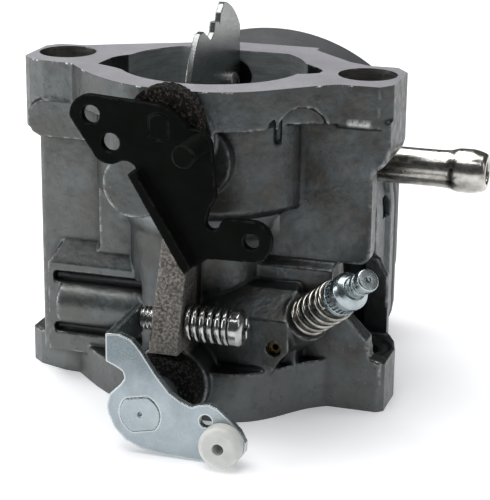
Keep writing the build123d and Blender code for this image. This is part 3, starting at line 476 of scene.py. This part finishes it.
def dark_rubber():
    """Black rubber and plastic of the hidden pieces."""
    p = Paint("dark_rubber", roughness=0.6)
    clouds = p.between(p.noise(2 * MM, 4), 0.3, 0.7)
    p.colour(p.mix(clouds, (0.018, 0.018, 0.018), (0.03, 0.03, 0.03)))
    p.bump((p.noise(0.3 * MM, 4), 0.012 * MM))
    return p.material


# ------------------------------------------------------------------ mesh kit
def new_piece(name, mesh, node, body, material, sharp):
    """A finished piece that stands for a CAD node and moves with a body.

    Edges sharper than sharp degrees stay crisp; None smooths them all. A piece without a body is attached to
    none, and one without a material keeps the mesh's own.
    """
    piece = bpy.data.objects.new(name, mesh)
    bpy.context.scene.collection.objects.link(piece)
    mesh.shade_smooth()
    if sharp:
        mesh.set_sharp_from_angle(angle=math.radians(sharp))
    if material is not None:
        mesh.materials.clear()
        mesh.materials.append(material)
    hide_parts(node)
    if body:
        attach(piece, body)
    return piece


def applied(mesh, kind, **settings):
    """The mesh with one modifier applied."""
    holder = bpy.data.objects.new("holder", mesh)
    bpy.context.scene.collection.objects.link(holder)
    modifier = holder.modifiers.new("step", kind)
    for key, value in settings.items():
        setattr(modifier, key, value)
    graph = bpy.context.evaluated_depsgraph_get()
    result = bpy.data.meshes.new_from_object(holder.evaluated_get(graph))
    bpy.data.objects.remove(holder)
    return result


def points_of(mesh):
    flat = np.empty(len(mesh.vertices) * 3)
    mesh.vertices.foreach_get("co", flat)
    return flat.reshape(-1, 3)


def set_points(mesh, points):
    mesh.vertices.foreach_set("co", points.astype(np.float32).ravel())
    mesh.update()


class Neighbours:
    """Averages values over each vertex's neighbours along the mesh's edges."""

    def __init__(self, mesh):
        flat = np.empty(len(mesh.edges) * 2, dtype=np.int32)
        mesh.edges.foreach_get("vertices", flat)
        self.first, self.second = flat.reshape(-1, 2).T
        self.count = len(mesh.vertices)
        self.degree = np.maximum(np.bincount(flat, minlength=self.count), 1)

    def mean(self, points):
        columns = []
        for column in points.T:
            total = np.bincount(self.first, column[self.second], self.count)
            total += np.bincount(self.second, column[self.first], self.count)
            columns.append(total / self.degree)
        return np.array(columns).T


def normals_of(mesh):
    flat = np.empty(len(mesh.vertices) * 3)
    mesh.vertex_normals.foreach_get("vector", flat)
    return flat.reshape(-1, 3)


def write_attribute(mesh, name, values):
    layer = mesh.attributes.new(name, "FLOAT", "POINT")
    layer.data.foreach_set("value", values.astype(np.float32))


def softened(source, voxel, rounds, faces, reliefs=0, change=None):
    """A copy of a CAD mesh with its sharp edges worn round.

    The mesh is remeshed to voxel, smoothed without shrinking over rounds passes, and thinned to about the
    number of faces given. With reliefs, edges and recesses are measured against the mesh blurred that many
    times and kept for the material. change(points) may move the CAD mesh's points first.
    """
    mesh = source.copy()
    if change:
        set_points(mesh, change(points_of(mesh)))
    mesh = applied(mesh, "REMESH", mode="VOXEL", voxel_size=voxel)
    around = Neighbours(mesh)
    points = points_of(mesh)
    for _ in range(rounds):
        points += SMOOTH_IN * (around.mean(points) - points)
        points -= SMOOTH_OUT * (around.mean(points) - points)
    set_points(mesh, points)
    if reliefs:
        normals = normals_of(mesh)
        blurred = points.copy()
        for step in range(reliefs):
            blurred = around.mean(blurred)
            if step == EDGE_BLURS - 1:
                write_attribute(mesh, "edge", ((points - blurred) * normals).sum(1))
        write_attribute(mesh, "recess", ((blurred - points) * normals).sum(1))
    have = 2 * len(mesh.polygons)
    if have > faces:
        mesh = applied(mesh, "DECIMATE", ratio=faces / have, use_collapse_triangulate=True)
    return mesh


def cut_away(work, place, way):
    """Cuts off everything that lies on the way side of a plane."""
    everything = work.verts[:] + work.edges[:] + work.faces[:]
    bmesh.ops.bisect_plane(work, geom=everything, plane_co=place, plane_no=way, clear_outer=True)


def cut_flat(mesh, height, keep_below, slot):
    """Cuts the mesh at a level and closes it with a flat face in material slot."""
    work = bmesh.new()
    work.from_mesh(mesh)
    way = 1 if keep_below else -1
    cut_away(work, (0, 0, height), (0, 0, way))
    rim = []
    for edge in work.edges:
        level = all(abs(corner.co.z - height) < 0.002 * MM for corner in edge.verts)
        if level and edge.is_boundary:
            rim.append(edge)
    filled = bmesh.ops.triangle_fill(work, edges=rim, use_beauty=True, normal=(0, 0, way))
    for item in filled["geom"]:
        if isinstance(item, bmesh.types.BMFace):
            item.material_index = slot
            item.smooth = False
            if item.normal.z * way < 0:
                item.normal_flip()
    work.to_mesh(mesh)
    work.free()


def lathe(profile, origin, axis, segments, ripple=None):
    """Turns a profile of (distance along the axis, radius) points into a closed mesh.

    ripple(distance, angle) gives a share by which the radius is scaled there.
    """
    axis = Vector(axis).normalized()
    across = axis.orthogonal().normalized()
    other = axis.cross(across)
    work = bmesh.new()
    rings = []
    for distance, radius in profile:
        centre = Vector(origin) + axis * distance
        if radius == 0:
            rings.append([work.verts.new(centre)])
            continue
        ring = []
        for k in range(segments):
            angle = 2 * math.pi * k / segments
            r = radius * (ripple(distance, angle) if ripple else 1)
            reach = across * (r * math.cos(angle)) + other * (r * math.sin(angle))
            ring.append(work.verts.new(centre + reach))
        rings.append(ring)
    for low, high in zip(rings, rings[1:]):
        for k in range(segments):
            after = (k + 1) % segments
            below = [low[k % len(low)], low[after % len(low)]]
            above = [high[after % len(high)], high[k % len(high)]]
            unique = list(dict.fromkeys(below + above))
            if len(unique) > 2:
                work.faces.new(unique)
    bmesh.ops.recalc_face_normals(work, faces=work.faces)
    mesh = bpy.data.meshes.new("turned")
    work.to_mesh(mesh)
    work.free()
    return mesh


def rounded(points, radius, steps):
    """A profile with its inner corners rounded."""
    result = [points[0]]
    for before, here, after in zip(points, points[1:], points[2:]):
        a, b, c = (Vector(p) for p in (before, here, after))
        reach = min(radius, (a - b).length * 0.45, (c - b).length * 0.45)
        start = b + (a - b).normalized() * reach
        end = b + (c - b).normalized() * reach
        for k in range(steps + 1):
            t = k / steps
            result.append(tuple((1 - t) ** 2 * start + 2 * t * (1 - t) * b + t * t * end))
    result.append(points[-1])
    return result


def coil(origin, axis, length, radius, wire, turns):
    """Compression spring with closed ends: the end turns lie flat against their seats."""
    closed = 0.75  # turns at each end that touch their neighbour
    per_turn = 48
    axis = Vector(axis).normalized()
    across = axis.orthogonal().normalized()
    other = axis.cross(across)
    count = int(turns * per_turn)
    closed_pitch = 2 * wire * 1.02
    open_pitch = (length - 2 * wire - 2 * closed * closed_pitch) / (turns - 2 * closed)
    heights = [wire]
    for k in range(count):
        turn = (k + 0.5) / per_turn
        resting = turn < closed or turn > turns - closed
        heights.append(heights[-1] + (closed_pitch if resting else open_pitch) / per_turn)
    blurred = np.array(heights)
    for _ in range(60):  # the pitch changes gradually
        blurred[1:-1] = 0.25 * blurred[:-2] + 0.5 * blurred[1:-1] + 0.25 * blurred[2:]
    path = []
    for k, height in enumerate(blurred):
        angle = 2 * math.pi * k / per_turn
        reach = across * (radius * math.cos(angle)) + other * (radius * math.sin(angle))
        path.append(Vector(origin) + axis * height + reach)
    return tube(path, wire, 14)


def tube(path, radius, sides):
    """A round bar along a list of points, with ends that come to a low point."""
    work = bmesh.new()
    rings = []
    out = None
    for k, point in enumerate(path):
        ahead = (path[min(k + 1, len(path) - 1)] - path[max(k - 1, 0)]).normalized()
        out = ahead.orthogonal() if out is None else out - ahead * out.dot(ahead)
        out.normalize()
        side = ahead.cross(out)
        ring = []
        for s in range(sides):
            angle = 2 * math.pi * s / sides
            ring.append(work.verts.new(point + (out * math.cos(angle) + side * math.sin(angle)) * radius))
        rings.append(ring)
    for low, high in zip(rings, rings[1:]):
        for s in range(sides):
            after = (s + 1) % sides
            work.faces.new((low[s], low[after], high[after], high[s]))
    for ring, way in ((rings[0], -1), (rings[-1], 1)):
        point, beside = (path[0], path[1]) if way < 0 else (path[-1], path[-2])
        tip = work.verts.new(point + (point - beside).normalized() * radius * 0.35)
        for s in range(sides):
            work.faces.new((ring[s], ring[(s + 1) % sides], tip))
    bmesh.ops.recalc_face_normals(work, faces=work.faces)
    mesh = bpy.data.meshes.new("bar")
    work.to_mesh(mesh)
    work.free()
    return mesh


def joined(*meshes):
    """Several meshes as one."""
    work = bmesh.new()
    for mesh in meshes:
        work.from_mesh(mesh)
    result = bpy.data.meshes.new("joined")
    work.to_mesh(result)
    work.free()
    return result


paints = {
    "cast_aluminium": cast_aluminium(),
    "machined": machined_aluminium(),
    "steel": steel("plain_steel", (0.30, 0.30, 0.29), (0.17, 0.17, 0.165), 0.3),
    "bright_steel": steel("bright_steel", (0.58, 0.58, 0.57), (0.34, 0.34, 0.33), 0.12),
    "spring_steel": steel("spring_steel", (0.42, 0.40, 0.37), (0.15, 0.14, 0.12), 0.14),
    "tube_steel": steel("tube_steel", (0.60, 0.585, 0.54), (0.33, 0.32, 0.285), 0.16),
    "zinc_screw": steel("zinc_screw", (0.42, 0.48, 0.49), (0.30, 0.345, 0.355), 0.18),
    "satin_steel": satin_steel(),
    "zinc_lever": zinc_plate("zinc_plate", 0.55),
    "zinc_shaft": zinc_plate("zinc_shaft", 0.05),
    "brass_plate": brass("brass", 1.0),
    "brass": brass("brass_orifice", 0.14),
    "black_lever": black_paint(),
    "white_nylon": white_nylon(),
    "choke_foam": foam("brown_foam", (0.008, 0.007, 0.006), (0.075, 0.062, 0.054)),
    "throttle_foam": foam("black_foam", (0.003, 0.003, 0.003), (0.045, 0.043, 0.038)),
    "rubber": dark_rubber(),
    "bowl_grey": bowl_steel(),
}
paint_of_slot = {
    "foam_seal": "choke_foam",
    "needle": "rubber",
    "float_plastic": "rubber",
    "gasket": "rubber",
}


# ------------------------------------------------------------------ pieces
def add_body():
    """The casting: worn round all over, then faced flat at both flanges."""
    low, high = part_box("carburetor_body")
    extra = 1.2 * MM
    near = 0.01 * MM

    def stretched(points):
        """Both flanges made thicker, so that their worn edges are cut off later."""
        points = points.copy()
        points[points[:, 2] > high.z - near, 2] += extra
        points[points[:, 2] < low.z + near, 2] -= extra
        return points

    mesh = softened(nodes["carburetor_body"].data, 0.3 * MM, 7, 185000, reliefs=70, change=stretched)
    mesh.materials.clear()
    mesh.materials.append(paints["cast_aluminium"])
    mesh.materials.append(paints["machined"])
    cut_flat(mesh, high.z, True, 1)
    cut_flat(mesh, low.z, False, 1)
    new_piece("casting", mesh, "carburetor_body", "body", None, 40)


def add_worn(node, body, paint, voxel, rounds, faces):
    """A CAD node with its edges worn round."""
    mesh = softened(nodes[node].data, voxel, rounds, faces, reliefs=EDGE_BLURS)
    new_piece(node + "_worn", mesh, node, body, paints[paint], None)


def add_seal(node, body, paint):
    """Foam washer with a crumbly skin: the surface sinks by noise, and a little everywhere."""
    mesh = softened(nodes[node].data, 0.22 * MM, 3, 60000)
    points = points_of(mesh)
    normals = normals_of(mesh)
    crumb = 0.55 * MM
    lift = np.array([noise.noise(Vector(p) / crumb) for p in points])
    points -= normals * (np.clip(lift, -0.2, 1) * 0.3 * MM + 0.06 * MM)[:, None]
    set_points(mesh, points)
    new_piece(node + "_foam", mesh, node, body, paints[paint], None)


def thread(origin, axis, length, major, minor, pitch):
    """A threaded bar from origin along axis, with its first turn cut down to the root."""
    per_pitch = 10
    count = int(length / pitch * per_pitch)
    profile = [(0, 0)]
    profile += [(length * k / count, major) for k in range(count + 1)]
    profile += [(length, 0)]

    def groove(distance, angle):
        """A V that winds once round the bar per pitch."""
        phase = (distance / pitch - angle / (2 * math.pi)) % 1.0
        depth = min(1.0, max(0.0, 1.35 - abs(phase - 0.5) * 4))
        near_end = min(1.0, distance / pitch)
        return 1 - (1 - minor / major) * max(depth, 1 - near_end)

    return lathe(profile, origin, axis, 48, groove)


def add_idle_screw():
    """The stop screw: a threaded stem, and the head of the CAD solid with softer edges."""
    tip_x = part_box("idle_speed_screw")[0].x
    head_x, y, z = joints["idle_screw_turn"]["pos_m"]
    crest, root, pitch = 2.0 * MM, 1.62 * MM, 0.7 * MM
    into_head = 0.2 * MM
    stem = thread((tip_x, y, z), (1, 0, 0), head_x - tip_x + into_head, crest, root, pitch)
    head = softened(nodes["idle_speed_screw"].data, 0.13 * MM, 5, 30000)
    work = bmesh.new()
    work.from_mesh(head)
    cut_away(work, (head_x - 0.6 * MM, y, z), (-1, 0, 0))
    bmesh.ops.holes_fill(work, edges=[edge for edge in work.edges if edge.is_boundary])
    work.to_mesh(head)
    work.free()
    both = joined(stem, head)
    new_piece("idle_screw_threaded", both, "idle_speed_screw", "idle_screw", paints["bright_steel"], 50)


def add_idle_spring():
    """The stop screw's spring, between the post and the screw head."""
    low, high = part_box("idle_speed_spring")
    head_x, y, z = joints["idle_screw_turn"]["pos_m"]
    seat = low.x - 0.05 * MM
    wire = 0.48 * MM
    turns = 5.6
    mesh = coil((seat, y, z), (1, 0, 0), head_x - seat, (high.y - low.y) / 2 - wire, wire, turns)
    spring = new_piece("idle_spring_coil", mesh, "idle_speed_spring", None, paints["bright_steel"], None)
    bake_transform(spring)


def add_mixture_screw():
    """The slanted screw: needle tip, stem, knurled collar, neck and end disc."""
    axis = Vector(joints["mixture_screw_travel"]["axis"]).normalized()
    origin = Vector(joints["mixture_screw_turn"]["pos_m"])
    tip = [(-10.4, 0), (-10.3, 0.5), (-4.0, 1.35)]
    stem = [(-4.0, 2.1), (14.4, 2.1)]
    collar = [(14.45, 3.1), (14.6, 3.2), (15.4, 3.2), (15.5, 3.04), (17.2, 3.04), (17.3, 3.2), (18.4, 3.2)]
    shoulder = [(19.1, 2.75), (19.8, 2.05), (19.9, 1.6)]
    neck = [(21.0, 1.6), (21.05, 1.8), (21.9, 1.8), (22.0, 1.5), (22.5, 1.5)]
    end_disc = [(22.6, 1.9), (24.1, 1.9), (24.3, 1.7), (24.3, 0.5), (24.15, 0)]
    outline = tip + stem + collar + shoulder + neck + end_disc
    profile = rounded([(t * MM, r * MM) for t, r in outline], 0.10 * MM, 4)

    knurl_start, knurl_end = 15.45 * MM, 17.25 * MM
    teeth = 26

    def knurl(distance, angle):
        """Flat-topped teeth between the knurl's two ends."""
        if knurl_start < distance < knurl_end:
            return 0.96 + 0.07 * math.tanh(3 * math.cos(teeth * angle))
        return 1

    mesh = lathe(profile, origin, axis, 320, knurl)
    plated, spring_wire = paints["zinc_screw"], paints["spring_steel"]
    new_piece("mixture_screw_knurled", mesh, "idle_mixture_screw", "mixture_screw", plated, 40)

    seat_at, collar_at = 3.8 * MM, 14.4 * MM
    seat = origin + axis * seat_at
    radius, wire, turns = 3.1 * MM, 0.47 * MM, 5.4
    mesh = coil(seat, axis, collar_at - seat_at, radius, wire, turns)
    spring = new_piece("mixture_spring_coil", mesh, "idle_mixture_spring", None, spring_wire, None)
    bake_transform(spring)


def add_fuel_tube():
    """The hose nozzle, with its barb rolled smoothly out of the stem."""
    low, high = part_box("fuel_inlet_tube")
    y, z = (low.y + high.y) / 2, (low.z + high.z) / 2
    length = high.x - low.x
    barb = (high.y - low.y) / 2
    stem = barb - 0.6 * MM
    bore = 1.9 * MM
    outside = [
        (0, bore),
        (0, stem),
        (length - 8.4 * MM, stem),
        (length - 6.4 * MM, stem + 0.12 * MM),
        (length - 5.2 * MM, barb - 0.05 * MM),
        (length - 4.2 * MM, barb),
        (length - 2.2 * MM, barb),
        (length - 0.5 * MM, stem + 0.1 * MM),
        (length, stem - 0.3 * MM),
        (length, bore),
        (0, bore),
    ]
    mesh = lathe(rounded(outside, 1.2 * MM, 10), (low.x, y, z), (1, 0, 0), 128)
    new_piece("fuel_tube_turned", mesh, "fuel_inlet_tube", "body", paints["tube_steel"], 45)


def paint_cad_nodes():
    """Every CAD node that still shows gets the material of its slot."""
    for name, thing in nodes.items():
        paint = paint_of_slot.get(slot_of[name], slot_of[name])
        for slot in thing.material_slots:
            slot.material = paints[paint]


# ------------------------------------------------------------------ scene
# node, body, paint, voxel in mm, smoothing rounds, faces kept
WORN = (
    ("float_bowl", "body", "bowl_grey", 0.33, 6, 70000),
    ("choke_lever", "choke", "black_lever", 0.14, 4, 50000),
    ("choke_lever_stud", "choke", "black_lever", 0.12, 4, 12000),
    ("choke_shaft", "choke", "black_lever", 0.16, 3, 30000),
    ("choke_plate", "choke", "satin_steel", 0.14, 3, 40000),
    ("throttle_lever", "throttle", "zinc_lever", 0.13, 4, 50000),
    ("throttle_shaft", "throttle", "zinc_shaft", 0.16, 3, 30000),
    ("throttle_lever_bushing", "throttle", "white_nylon", 0.12, 6, 24000),
    ("metering_orifice", "body", "brass", 0.08, 3, 12000),
    ("bowl_bolt", "body", "steel", 0.18, 4, 24000),
)

add_camera()
add_studio()
add_floor()
paint_cad_nodes()
add_body()
for node, body, paint, voxel, rounds, faces in WORN:
    add_worn(node, body, paint, voxel * MM, rounds, faces)
add_seal("choke_shaft_seal", "body", "choke_foam")
add_seal("throttle_shaft_seal", "body", "throttle_foam")
add_idle_screw()
add_idle_spring()
add_mixture_screw()
add_fuel_tube()
